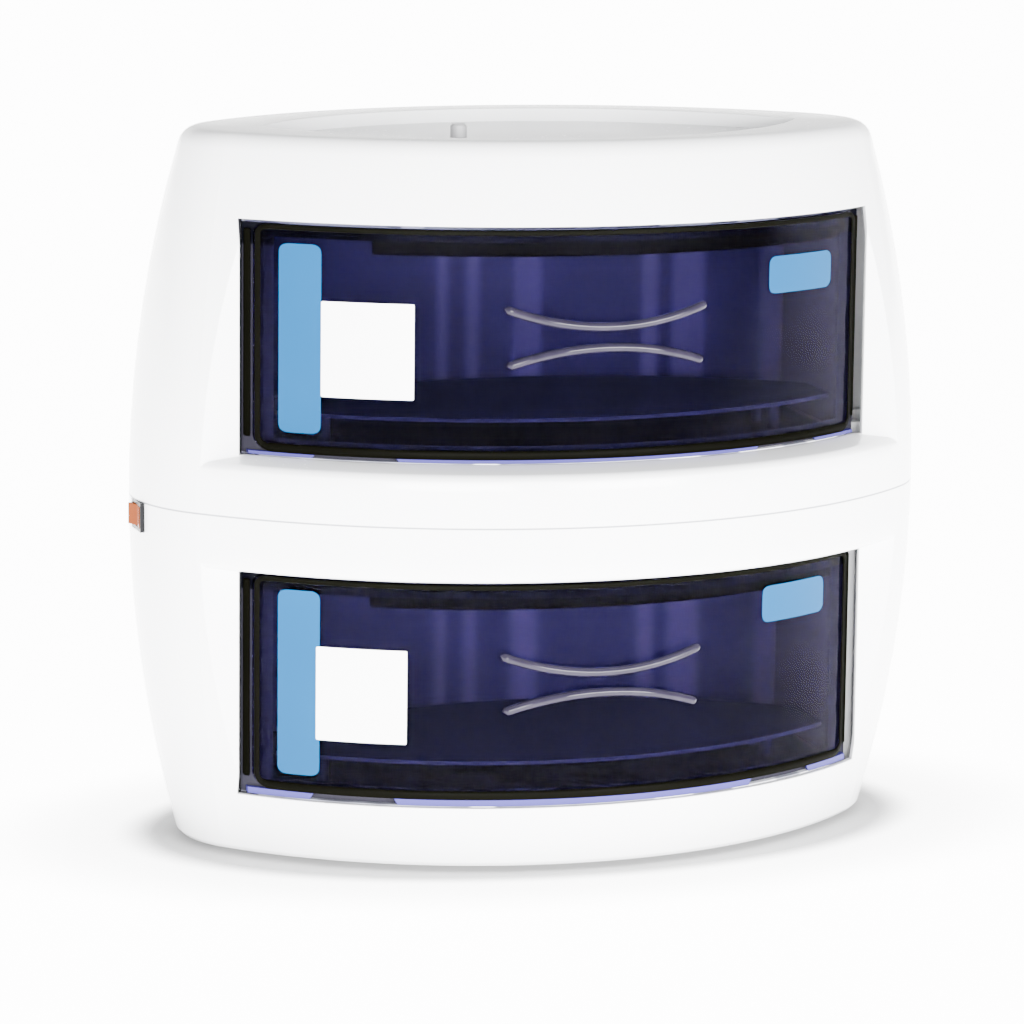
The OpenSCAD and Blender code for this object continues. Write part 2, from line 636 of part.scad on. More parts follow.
upper_shell();
lower_shell();
rear_cover();
upper_liner();
lower_liner();
upper_runners();
lower_runners();
upper_reflector();
lower_reflector();
upper_lamp();
lower_lamp();
upper_lamp_caps();
lower_lamp_caps();
upper_lamp_holders();
lower_lamp_holders();
upper_ballast();
lower_ballast();
ballast_screws();
upper_starter_socket();
lower_starter_socket();
starters();
terminal_block();
wiring();
cord_gland();
switch_housing();
switch_rocker();
switch_terminals();
latch_bodies();
upper_latch_pin();
lower_latch_pin();
cover_screws();
shell_screws();
feet();
top_peg();
upper_tub();
lower_tub();
upper_front();
lower_front();
upper_seal();
lower_seal();
upper_grips();
lower_grips();
upper_tray();
lower_tray();
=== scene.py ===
import bpy
import bmesh
import math
from mathutils import Matrix, Vector


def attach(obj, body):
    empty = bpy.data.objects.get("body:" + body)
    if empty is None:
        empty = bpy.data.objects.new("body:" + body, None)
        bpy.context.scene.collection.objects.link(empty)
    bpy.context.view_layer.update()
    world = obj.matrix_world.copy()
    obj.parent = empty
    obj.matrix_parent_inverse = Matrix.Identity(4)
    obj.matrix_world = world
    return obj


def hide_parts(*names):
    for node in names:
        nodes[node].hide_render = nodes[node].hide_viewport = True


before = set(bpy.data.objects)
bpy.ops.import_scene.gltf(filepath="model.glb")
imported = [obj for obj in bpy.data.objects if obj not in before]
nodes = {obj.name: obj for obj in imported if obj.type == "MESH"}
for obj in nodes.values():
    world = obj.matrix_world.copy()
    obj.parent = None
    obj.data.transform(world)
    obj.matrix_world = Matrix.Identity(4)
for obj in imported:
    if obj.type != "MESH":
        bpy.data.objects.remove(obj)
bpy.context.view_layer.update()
mm = 0.001
print("frame loaded:", len(nodes), "nodes")


view = {
    "azimuth": -16.125,  # degrees, negative is left of the front
    "elevation": 9.761,
    "distance": 2.3364,
    "target": (0.0, 0.0, 0.185),
    "roll": 0.696,
    "lens": 156.63,
    "sensor": 36,
    "clipEnd": 50,
    "shiftX": -0.0137,
    "shiftY": -0.0370,
}


def placeCamera():
    az, el = math.radians(view["azimuth"]), math.radians(view["elevation"])
    back = Vector((math.sin(az) * math.cos(el), -math.cos(az) * math.cos(el), math.sin(el)))
    right = Vector((math.cos(az), math.sin(az), 0))
    up = back.cross(right)
    roll = math.radians(view["roll"])
    turned = right * math.cos(roll) + up * math.sin(roll)
    tall = up * math.cos(roll) - right * math.sin(roll)
    lens = bpy.data.cameras.new("camera")
    lens.lens, lens.sensor_width = view["lens"], view["sensor"]
    lens.shift_x, lens.shift_y = view["shiftX"], view["shiftY"]
    lens.clip_end = view["clipEnd"]
    camera = bpy.data.objects.new("camera", lens)
    bpy.context.scene.collection.objects.link(camera)
    spot = Vector(view["target"]) + back * view["distance"]
    camera.matrix_world = Matrix((
        (turned.x, tall.x, back.x, spot.x),
        (turned.y, tall.y, back.y, spot.y),
        (turned.z, tall.z, back.z, spot.z),
        (0, 0, 0, 1)))
    bpy.context.scene.camera = camera


placeCamera()
print("camera placed")

faceCentre = 125.0  # y of the axis that the fronts curve round, in millimetres


class Signal:
    # one output socket; arithmetic on it adds Math nodes to its tree
    def __init__(self, tree, socket):
        self.tree, self.socket = tree, socket

    def node(self, kind, settings=None, pick=0, **links):
        made = self.tree.nodes.new("ShaderNode" + kind)
        for key, value in (settings or {}).items():
            setattr(made, key, value)
        for key, value in links.items():
            numbered = key.startswith("in") and key[2:].isdigit()
            target = made.inputs[int(key[2:]) if numbered else key.replace("_", " ")]
            if isinstance(value, Signal):
                self.tree.links.new(value.socket, target)
            else:
                target.default_value = value
        return Signal(self.tree, made.outputs[pick])

    def maths(self, operation, first, second=0.0):
        return self.node("Math", {"operation": operation}, in0=first, in1=second)

    def __add__(self, other):
        return self.maths("ADD", self, other)

    def __sub__(self, other):
        return self.maths("SUBTRACT", self, other)

    def __rsub__(self, other):
        return self.maths("SUBTRACT", other, self)

    def __mul__(self, other):
        return self.maths("MULTIPLY", self, other)

    def __truediv__(self, other):
        return self.maths("DIVIDE", self, other)

    def __rtruediv__(self, other):
        return self.maths("DIVIDE", other, self)

    def __pow__(self, other):
        return self.maths("POWER", self, other)

    def __gt__(self, other):
        return self.maths("GREATER_THAN", self, other)

    def __lt__(self, other):
        return self.maths("LESS_THAN", self, other)

    __radd__, __rmul__ = __add__, __mul__

    def blendTo(self, first, second):
        # colours between first and second, by this factor
        return self.node("Mix", {"data_type": "RGBA"}, pick=2, in0=self, in6=first, in7=second)

    def smooth(self, low, high):
        # 0 up to low, 1 from high on
        return self.node("MapRange", {"interpolation_type": "SMOOTHSTEP"}, in0=self, in1=low, in2=high)

    def band(self, low, high, soft):
        # 1 between low and high, with soft edges
        rise, fall = self.smooth(low - soft, low + soft), self.smooth(high - soft, high + soft)
        return rise * (1.0 - fall)


class Finish:
    # a material with its shader's own sockets set, and the place on the object as signals
    def __init__(self, name, **constants):
        self.material = bpy.data.materials.new(name)
        self.material.use_nodes = True
        self.tree = self.material.node_tree
        self.shader = self.tree.nodes["Principled BSDF"]
        for key, value in constants.items():
            socket = self.shader.inputs[key.replace("_", " ")]
            socket.default_value = (*value, 1) if isinstance(value, tuple) else value
        place = self.tree.nodes.new("ShaderNodeTexCoord")
        self.place = Signal(self.tree, place.outputs["Object"])
        parts = self.tree.nodes.new("ShaderNodeSeparateXYZ")
        self.tree.links.new(place.outputs["Object"], parts.inputs[0])
        self.x, self.y, self.z = (Signal(self.tree, parts.outputs[i]) for i in range(3))

    def noise(self, scale, detail=3.0, rough=0.55, stretch=None):
        spot = self.place
        if stretch:
            spot = spot.node("VectorMath", {"operation": "MULTIPLY"}, in0=spot, in1=stretch)
        return self.place.node("TexNoise", {"noise_dimensions": "3D"}, Vector=spot, Scale=scale,
                               Detail=detail, Roughness=rough)

    def feed(self, **signals):
        for key, signal in signals.items():
            self.tree.links.new(signal.socket, self.shader.inputs[key.replace("_", " ")])

    def bump(self, height, distance, strength=1.0, edge=0.0):
        # edge rounds the look of sharp corners by that radius
        links = {"Height": height, "Distance": distance, "Strength": strength}
        if edge:
            links["Normal"] = self.place.node("Bevel", {"samples": 4}, Radius=edge)
        self.feed(Normal=self.place.node("Bump", {}, **links))
        return self


# painted shade along the gap where the shells meet, in millimetres
seamLine = {"height": 181.0, "half": 0.45, "soft": 0.25, "tint": (0.30, 0.31, 0.33)}
casePlastic = {
    "tint": (0.80, 0.805, 0.815),
    "shade": (0.765, 0.77, 0.785),
    "gloss": 0.22,
    "edge": 0.0012,  # radius in metres that corners look rounded by
    "seam": seamLine,
}
coverPlastic = {
    "tint": (0.77, 0.775, 0.785),
    "shade": (0.73, 0.735, 0.75),
    "gloss": 0.32,
    "edge": 0.0006,
}


def makeCasePlastic(name, tint, shade, gloss, edge, seam=None):
    finish = Finish(name, IOR=1.47, Specular_IOR_Level=0.3, Coat_Roughness=0.06)
    drift = finish.noise(6.0, 2.0)
    dust = finish.noise(420.0, 2.0) > 0.69
    skin = drift.blendTo((*shade, 1), (*tint, 1))
    if seam:
        # painted shade: a darker grey line along the gap where the shells meet
        low, high = seam["height"] - seam["half"], seam["height"] + seam["half"]
        line = finish.z.band(low * mm, high * mm, seam["soft"] * mm)
        skin = line.blendTo(skin, (*seam["tint"], 1))
    finish.feed(
        Base_Color=skin,
        Roughness=drift * 0.08 + (gloss - 0.04) + dust * 0.05,
        Coat_Weight=0.04 + drift * 0.06)
    return finish.bump(finish.noise(260.0, 3.0), 0.00006, 0.35, edge)


frontPlastic = {
    "tint": (0.39, 0.35, 0.62),
    "deep": (0.355, 0.32, 0.575),
    "clear": 1.0,
    "bend": 1.06,
}


def makeFrontPlastic():
    finish = Finish("violetAcrylic", IOR=frontPlastic["bend"], Transmission_Weight=frontPlastic["clear"])
    streak = finish.noise(22.0, 2.0, stretch=(1.0, 1.0, 0.02))
    smear = finish.noise(38.0, 4.0)
    finish.feed(
        Base_Color=streak.blendTo((*frontPlastic["deep"], 1), (*frontPlastic["tint"], 1)),
        Roughness=0.005 + smear * 0.02)
    return finish.bump(finish.noise(9.0, 1.0), 0.0003, 0.04)


# places and ranges in millimetres
drawerPlastic = {
    "lip": (0.043, 0.038, 0.155),
    "flange": (0.018, 0.017, 0.024),
    "inside": (0.032, 0.027, 0.050),
    # colour of the painted reflection streaks on the back wall
    "streak": (0.085, 0.074, 0.105),
    "wall": (0.100, 0.088, 0.090),
    "wallPlace": 151.0,  # the side walls lie beyond this x
    "head": (0.0015, 0.0015, 0.003),  # painted shade: the dark strip along the top
    "lips": [(35.0, 39.0), (210.0, 212.5)],
    "heads": [(140.5, 152.0), (316.0, 330.0)],
    "reflectionStreaks": [(-40.0, -34.0), (-24.0, -17.0), (2.0, 17.0), (73.0, 82.0), (90.0, 108.0), (140.0, 152.0)],
    "reflectionStreakFrom": 30.0,  # no painted reflection streaks in front of this y
    "lipSoft": 0.3,
    "headSoft": 0.5,
    "reflectionStreakSoft": 3.0,
    "lipRadius": 237.8,
    "insideRadius": 235.0,
}


def anyBand(along, ranges, soft):
    # 1 inside any of the ranges
    total = 0.0
    for low, high in ranges:
        total = along.band(low * mm, high * mm, soft * mm) + total
    return total


def makeDrawerPlastic():
    finish = Finish("lavenderDrawer", IOR=1.49, Specular_IOR_Level=0.03)
    grain = finish.noise(30.0, 3.0)
    forward = finish.y - faceCentre * mm
    radius = (finish.x * finish.x + forward * forward) ** 0.5
    lip = anyBand(finish.z, drawerPlastic["lips"], drawerPlastic["lipSoft"])
    # painted shade: a dark band along the top of each tier
    head = anyBand(finish.z, drawerPlastic["heads"], drawerPlastic["headSoft"])
    # painted reflection: bright upright streaks at fixed places on the back wall
    streak = anyBand(finish.x, drawerPlastic["reflectionStreaks"], drawerPlastic["reflectionStreakSoft"])
    streak = streak * (finish.y > drawerPlastic["reflectionStreakFrom"] * mm)
    inside = streak.blendTo((*drawerPlastic["inside"], 1), (*drawerPlastic["streak"], 1))
    wall = finish.x.maths("ABSOLUTE", finish.x) > drawerPlastic["wallPlace"] * mm
    inside = wall.blendTo(inside, (*drawerPlastic["wall"], 1))
    flange = head.blendTo((*drawerPlastic["flange"], 1), (*drawerPlastic["head"], 1))
    skin = (radius < drawerPlastic["insideRadius"] * mm).blendTo(flange, inside)
    lip = lip * (radius > drawerPlastic["lipRadius"] * mm)
    finish.feed(
        Base_Color=lip.blendTo(skin, (*drawerPlastic["lip"], 1)),
        Roughness=0.18 + grain * 0.12)
    return finish.bump(finish.noise(300.0, 2.0), 0.00005, 0.3, 0.0005)


def makeMoulded(name, dark, light, gloss, grainScale=320.0, depth=0.00006, edge=0.0004, **constants):
    # a plain moulded or pressed surface with drift in colour and gloss, and a fine skin
    finish = Finish(name, **constants)
    drift = finish.noise(25.0, 3.0)
    scuff = finish.noise(140.0, 4.0)
    finish.feed(
        Base_Color=drift.blendTo((*dark, 1), (*light, 1)),
        Roughness=(gloss - 0.05) + scuff * 0.12)
    return finish.bump(finish.noise(grainScale, 3.0), depth, 0.5, edge)


def makeBrushed(name, dark, light, gloss, along):
    # sheet metal with fine lines along one axis
    finish = Finish(name, Metallic=1.0)
    stretch = tuple(0.03 if axis == along else 1.0 for axis in "xyz")
    lines = finish.noise(700.0, 2.0, stretch=stretch)
    patch = finish.noise(18.0, 3.0)
    finish.feed(
        Base_Color=patch.blendTo((*dark, 1), (*light, 1)),
        Roughness=gloss + lines * 0.12)
    return finish.bump(lines, 0.00002, 0.4)


lamp = {"glow": (0.62, 0.66, 1.0), "strength": 3.0, "half": 0.139}  # half its lit length in metres


def makeLampGlass():
    # dark ends
    finish = Finish("lampGlass", Roughness=0.25, Emission_Strength=lamp["strength"])
    fade = finish.x * finish.x / (lamp["half"] * lamp["half"])
    finish.feed(
        Base_Color=fade.blendTo((0.82, 0.86, 0.95, 1), (0.35, 0.36, 0.42, 1)),
        Emission_Color=(fade ** 6.0).blendTo((*lamp["glow"], 1), (0.02, 0.02, 0.05, 1)))
    return finish


liner = {
    "dark": (0.10, 0.10, 0.13),
    "light": (0.30, 0.31, 0.36),
    # colour of the painted reflection bands
    "band": (0.75, 0.76, 0.80),
    "bands": [(-58.0, -46.0), (38.0, 60.0), (84.0, 112.0), (128.0, 150.0)],  # x in millimetres
    "soft": 1.5,
}


def makeLiner():
    # upright streaks of brighter and duller sheet, and painted reflections as bright bands at fixed places
    finish = Finish("linerSheet", Metallic=0.0, Specular_IOR_Level=0.3)
    streak = finish.noise(26.0, 2.0, stretch=(1.0, 0.2, 0.015))
    spread = streak.smooth(0.38, 0.62)
    paintedReflection = anyBand(finish.x, liner["bands"], liner["soft"])
    sheet = spread.blendTo((*liner["dark"], 1), (*liner["light"], 1))
    finish.feed(
        Base_Color=paintedReflection.blendTo(sheet, (*liner["band"], 1)),
        Roughness=0.30 + spread * 0.15)
    return finish.bump(finish.noise(500.0, 2.0, stretch=(1.0, 1.0, 0.05)), 0.00003, 0.4)


dull = {"Specular_IOR_Level": 0.05}

case = makeCasePlastic("whiteCase", **casePlastic)
cover = makeCasePlastic("whiteCover", **coverPlastic)
acrylic = makeFrontPlastic()
lavender = makeDrawerPlastic()
finishes = {
    "darkTray": makeMoulded("darkTray", (0.020, 0.019, 0.030), (0.030, 0.028, 0.044), 0.38, **dull),
    "liner": makeLiner(),
    "runner": makeMoulded("runnerGrey", (0.03, 0.03, 0.04), (0.05, 0.05, 0.06), 0.45, **dull),
    "seal": makeMoulded("blackSeal", (0.0010, 0.0010, 0.0006), (0.0018, 0.0018, 0.0010), 0.40,
                        depth=0.0001, Specular_IOR_Level=0.008),
    "black": makeMoulded("blackNylon", (0.004, 0.004, 0.0045), (0.008, 0.008, 0.009), 0.30, **dull),
    "rubber": makeMoulded("footRubber", (0.010, 0.010, 0.011), (0.02, 0.02, 0.021), 0.70,
                          500.0, 0.0001, **dull),
    "peg": makeMoulded("pegPlastic", (0.30, 0.30, 0.31), (0.38, 0.38, 0.39), 0.35),
    "ceramic": makeMoulded("holderWhite", (0.62, 0.62, 0.60), (0.72, 0.72, 0.70), 0.35),
    "starter": makeMoulded("starterGrey", (0.42, 0.43, 0.45), (0.52, 0.53, 0.55), 0.40),
    "ivory": makeMoulded("terminalIvory", (0.62, 0.58, 0.44), (0.72, 0.68, 0.55), 0.40),
    "wire": makeMoulded("wireSleeve", (0.02, 0.05, 0.16), (0.03, 0.08, 0.22), 0.40),
    "latch": makeMoulded("latchGrey", (0.05, 0.05, 0.055), (0.08, 0.08, 0.085), 0.45),
    "pin": makeMoulded("latchPin", (0.35, 0.02, 0.02), (0.45, 0.03, 0.03), 0.35),
    "reflector": makeBrushed("reflectorSheet", (0.62, 0.63, 0.66), (0.78, 0.79, 0.82), 0.14, "x"),
    "steel": makeBrushed("screwSteel", (0.42, 0.42, 0.43), (0.60, 0.60, 0.61), 0.26, "z"),
    "cap": makeBrushed("lampCap", (0.55, 0.55, 0.56), (0.70, 0.70, 0.71), 0.22, "x"),
    "brass": makeBrushed("terminalBrass", (0.62, 0.45, 0.18), (0.78, 0.60, 0.28), 0.24, "x"),
    "ballast": makeMoulded("ballastCase", (0.10, 0.10, 0.11), (0.15, 0.15, 0.16), 0.50, 120.0, 0.0002),
    "lampGlass": makeLampGlass(),
}


def makeRocker():
    # painted light: most of the rocker's orange comes from a glow of its own
    finish = Finish("amberRocker", Emission_Strength=0.2, Specular_IOR_Level=0.03)
    cloud = finish.noise(180.0, 3.0)
    finish.feed(
        Base_Color=cloud.blendTo((0.09, 0.016, 0.0004, 1), (0.12, 0.022, 0.0008, 1)),
        Emission_Color=cloud.blendTo((0.75, 0.16, 0.0, 1), (1.0, 0.26, 0.01, 1)),
        Roughness=0.16 + cloud * 0.1)
    return finish.bump(finish.noise(500.0, 2.0), 0.00005, 0.4, 0.0005)


amber = makeRocker()
print("finishes made")


# mergeWithin in metres, sharpFrom in degrees
smoothing = {"mergeWithin": 0.000003, "sharpFrom": 28}


def makeSoftShading():
    # joins the solids' faces again and shades them smooth where they meet at a small angle
    group = bpy.data.node_groups.new("softShading", "GeometryNodeTree")
    group.interface.new_socket("Geometry", in_out="INPUT", socket_type="NodeSocketGeometry")
    group.interface.new_socket("Geometry", in_out="OUTPUT", socket_type="NodeSocketGeometry")
    entry, leave = group.nodes.new("NodeGroupInput"), group.nodes.new("NodeGroupOutput")
    plain = group.nodes.new("GeometryNodeRemoveAttribute")
    plain.inputs["Name"].default_value = "custom_normal"
    merge = group.nodes.new("GeometryNodeMergeByDistance")
    merge.inputs["Distance"].default_value = smoothing["mergeWithin"]
    faces = group.nodes.new("GeometryNodeSetShadeSmooth")
    edges = group.nodes.new("GeometryNodeSetShadeSmooth")
    edges.domain = "EDGE"
    edges.inputs["Shade Smooth"].default_value = False
    angle = group.nodes.new("GeometryNodeInputMeshEdgeAngle")
    wide = group.nodes.new("FunctionNodeCompare")
    wide.operation = "GREATER_THAN"
    wide.inputs["B"].default_value = math.radians(smoothing["sharpFrom"])
    join = group.links.new
    join(entry.outputs[0], plain.inputs[0])
    join(plain.outputs[0], merge.inputs[0])
    join(merge.outputs[0], faces.inputs[0])
    join(faces.outputs[0], edges.inputs[0])
    join(angle.outputs[0], wide.inputs["A"])
    join(wide.outputs[0], edges.inputs["Selection"])
    join(edges.outputs[0], leave.inputs[0])
    return group


softShading = makeSoftShading()
finishOf = {
    case: ["upper_shell", "lower_shell"],
    cover: ["rear_cover"],
    lavender: ["upper_tub", "lower_tub"],
    acrylic: ["upper_front", "lower_front"],
    amber: ["switch_rocker"],
    finishes["darkTray"]: ["upper_tray", "lower_tray", "upper_grips", "lower_grips"],
    finishes["liner"]: ["upper_liner", "lower_liner"],
    finishes["runner"]: ["upper_runners", "lower_runners"],
    finishes["seal"]: ["upper_seal", "lower_seal"],
    finishes["black"]: ["switch_housing", "cord_gland"],
    finishes["rubber"]: ["feet"],
    finishes["peg"]: ["top_peg"],
    finishes["ceramic"]: ["upper_lamp_holders", "lower_lamp_holders", "upper_starter_socket",
                          "lower_starter_socket"],
    finishes["starter"]: ["starters"],
    finishes["ivory"]: ["terminal_block"],
    finishes["wire"]: ["wiring"],
    finishes["latch"]: ["latch_bodies"],
    finishes["pin"]: ["upper_latch_pin", "lower_latch_pin"],
    finishes["reflector"]: ["upper_reflector", "lower_reflector"],
    finishes["steel"]: ["cover_screws", "shell_screws", "ballast_screws"],
    finishes["cap"]: ["upper_lamp_caps", "lower_lamp_caps"],
    finishes["brass"]: ["switch_terminals"],
    finishes["ballast"]: ["upper_ballast", "lower_ballast"],
    finishes["lampGlass"]: ["upper_lamp", "lower_lamp"],
}
for finish, names in finishOf.items():
    for name in names:
        solid = nodes[name]
        if not solid.material_slots:
            solid.data.materials.append(finish.material)
        for place in solid.material_slots:
            place.material = finish.material
        soft = solid.modifiers.new("softShading", "NODES")
        soft.node_group = softShading
print("solids finished")


def onFront(radius, x, z):
    # the place on an upright cylinder that the fronts follow
    return Vector((x, faceCentre - math.sqrt(radius * radius - x * x), z))


def addPiece(name, points, faces, finish, body, slot, angle=35.0, stands=()):
    # points in millimetres
    mesh = bpy.data.meshes.new(name)
    mesh.from_pydata([Vector(p) * mm for p in points], [], faces)
    shape = bmesh.new()
    shape.from_mesh(mesh)
    bmesh.ops.recalc_face_normals(shape, faces=shape.faces)
    if shape.calc_volume(signed=True) < 0:
        bmesh.ops.reverse_faces(shape, faces=shape.faces)
    shape.to_mesh(mesh)
    shape.free()
    mesh.shade_smooth()
    mesh.set_sharp_from_angle(angle=math.radians(angle))
    mesh.materials.append(finish.material)
    piece = bpy.data.objects.new(name, mesh)
    bpy.context.scene.collection.objects.link(piece)
    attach(piece, body)
    if stands:
        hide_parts(*stands)


def roundedPath(left, right, low, high, lowCorner, highCorner, steps=10):
    # closed path of (x, z, inward x, inward z), anticlockwise from the bottom left
    path = []
    corners = [(left, low, lowCorner, 180), (right, low, lowCorner, 270), (right, high, highCorner, 0),
               (left, high, highCorner, 90)]
    for x, z, corner, start in corners:
        sideX, sideZ = (1 if x == left else -1), (1 if z == low else -1)
        for step in range(steps + 1):
            turn = math.radians(start + 90 * step / steps)
            path.append((x + sideX * corner + corner * math.cos(turn),
                         z + sideZ * corner + corner * math.sin(turn),
                         -math.cos(turn), -math.sin(turn)))
    return densified(path)


def densified(path, most=4.0):
    # more points along the long straight runs, so that they follow the curve
    full = []
    for here, there in zip(path, path[1:] + path[:1]):
        full.append(here)
        parts = int(abs(there[0] - here[0]) / most)
        for k in range(1, parts):
            t = k / parts
            full.append(tuple(a + (b - a) * t for a, b in zip(here, there)))
    return full


plate = {"cornerSteps": 10, "column": 3, "nearest": 0.05}  # column width and least gap in millimetres


def curvedPlate(left, right, low, high, lowCorner, highCorner, inner, outer, chamfer):
    # a plate with rounded corners between two radii, in upright columns
    columns = set()
    for corner in (lowCorner, highCorner, chamfer):
        for step in range(plate["cornerSteps"] + 1):
            reach = corner * (1 - math.cos(math.radians(90 / plate["cornerSteps"] * step)))
            columns |= {round(left + reach, 4), round(right - reach, 4)}
    count = max(1, int((right - left) / plate["column"]))
    columns |= {round(left + (right - left) * k / count, 4) for k in range(count + 1)}
    columns = sorted(columns)
    kept = [columns[0]]
    for x in columns[1:]:
        if x - kept[-1] > plate["nearest"]:
            kept.append(x)
    points, faces = [], []

    def rise(x, corner, inset):
        gap = min(x - left, right - x) - inset
        if gap >= corner - inset or corner <= inset:
            return 0.0
        size = corner - inset
        return size - math.sqrt(max(size * size - (size - max(gap, 0)) ** 2, 0))

    rings = [(inner + chamfer, 0.0), (inner, chamfer), (outer, chamfer), (outer - chamfer, 0.0)]
    for x in kept:
        for radius, inset in rings:
            at = min(max(x, left + inset), right - inset)
            points.append(onFront(radius, at, low + inset + rise(at, lowCorner, inset)))
        for radius, inset in reversed(rings):
            at = min(max(x, left + inset), right - inset)
            points.append(onFront(radius, at, high - inset - rise(at, highCorner, inset)))
    span = 2 * len(rings)
    for k in range(len(kept) - 1):
        for j in range(span):
            a, b = k * span + j, k * span + (j + 1) % span
            faces.append((a, b, b + span, a + span))
    last = (len(kept) - 1) * span
    faces.append(tuple(range(span)))
    faces.append(tuple(last + j for j in range(span)))
    return points, faces


def sweptFrame(path, profile):
    # profile rows are (share of the width inward, radius), closed
    points, faces = [], []
    count = len(profile)
    for x, z, inX, inZ, wide in path:
        for share, radius in profile:
            points.append(onFront(radius, x + inX * share * wide, z + inZ * share * wide))
    for k in range(len(path)):
        for j in range(count):
            a, b = k * count + j, k * count + (j + 1) % count
            following = (k + 1) % len(path) * count
            faces.append((a, b, following + (j + 1) % count, following + j))
    return points, faces


# the two tiers, in millimetres
tiers = {
    "lower": {"floor": 35.0, "bottom": 4.0, "panelHigh": 110.0, "body": "lower_drawer"},
    "upper": {"floor": 210.0, "bottom": 2.5, "panelHigh": 114.5, "body": "upper_drawer"},
}
front = {"halfWidth": 158.5, "radius": 241.5, "thick": 4.0, "lowCorner": 8.0, "highCorner": 5.0,
         "chamfer": 0.5}
seal = {
    "bottom": 4.5,
    "side": 2.5,
    "stand": 0.9,
    "lift": 0.02,  # clear of the panel by this
    "crown": [(0.04, 0.35), (0.15, 0.0), (0.82, 0.0), (0.95, 0.4)],  # share of the width, drop from the top
    "sharpFrom": 50,
}
# a dark strip behind the top of the panel, standing in for shade there
shade = {"from": -105.0, "to": 152.0, "tall": 13.0, "drop": 0.6, "radius": 235.3, "thick": 1.8,
         "corner": 0.5, "chamfer": 0.2}
sideGapStrip = {"from": 159.7, "to": 162.4, "radius": 237.45, "stand": 2.2, "above": 9.0, "below": 3.0,
          "corner": 0.8, "chamfer": 0.3}


def makeFront(tier, facts):
    low = facts["floor"] + facts["bottom"]
    high = low + facts["panelHigh"]
    half = front["halfWidth"]
    points, faces = curvedPlate(-half, half, low, high, front["lowCorner"], front["highCorner"],
                                front["radius"] - front["thick"], front["radius"], front["chamfer"])
    addPiece(tier + "_front_panel", points, faces, acrylic, facts["body"], "front_violet",
             stands=[tier + "_front"])
    path = roundedPath(-half, half, low, high, front["lowCorner"], front["highCorner"])
    path = [(x, z, inX, inZ, seal["side"] * inX * inX + seal["bottom" if inZ > 0 else "side"] * inZ * inZ)
            for x, z, inX, inZ in path]
    base, top = front["radius"] + seal["lift"], front["radius"] + seal["stand"]
    crown = [(share, top - drop) for share, drop in seal["crown"]]
    points, faces = sweptFrame(path, [(0.0, base), *crown, (1.0, base)])
    black = (finishes["seal"], facts["body"], "seal_black", seal["sharpFrom"])
    addPiece(tier + "_edge_seal", points, faces, *black, stands=[tier + "_seal"])
    # painted shade: a dark strip behind the top of the panel
    points, faces = curvedPlate(shade["from"], shade["to"], high - shade["drop"] - shade["tall"],
                                high - shade["drop"], shade["corner"], shade["corner"],
                                shade["radius"] - shade["thick"], shade["radius"], shade["chamfer"])
    addPiece(tier + "_shade_strip", points, faces, *black)
    # dark strips in the side gaps beside the panel
    for side, turn in (("left", -1), ("right", 1)):
        ends = sorted((turn * sideGapStrip["from"], turn * sideGapStrip["to"]))
        points, faces = curvedPlate(*ends, facts["floor"] + sideGapStrip["above"], high - sideGapStrip["below"],
                                    sideGapStrip["corner"], sideGapStrip["corner"], sideGapStrip["radius"],
                                    sideGapStrip["radius"] + sideGapStrip["stand"], sideGapStrip["chamfer"])
        addPiece(tier + "_" + side + "_gap_strip", points, faces, *black)


for tier, facts in tiers.items():
    makeFront(tier, facts)
print("fronts made")


grips = {
    "middle": 8.0,
    "stand": 6.0,
    "thick": 4.5,
    "crown": 0.6,  # taken off the stand, so that the bars stay inside the solids' height
    "sink": 0.3,  # into the panel
    "square": 0.75,  # below 1 makes the section fuller than round
    "steps": 72,
    "ring": 14,
    "sharpFrom": 60,
    "rows": [  # height above the tier's floor at the middle
        {"height": 69.0, "half": 51.0, "sag": 8.8, "up": 1},
        {"height": 58.6, "half": 49.5, "sag": 8.2, "up": -1},
    ],
}


def makeGripFinish():
    finish = Finish("smokedRidge", Roughness=0.06, Specular_IOR_Level=0.12)
    mottle = finish.noise(120.0, 3.0)
    finish.feed(
        Base_Color=mottle.blendTo((0.006, 0.005, 0.010, 1), (0.020, 0.017, 0.028, 1)),
        Coat_Weight=0.01 + mottle * 0.03)
    return finish.bump(finish.noise(60.0, 2.0), 0.0004, 0.3)


smoked = makeGripFinish()


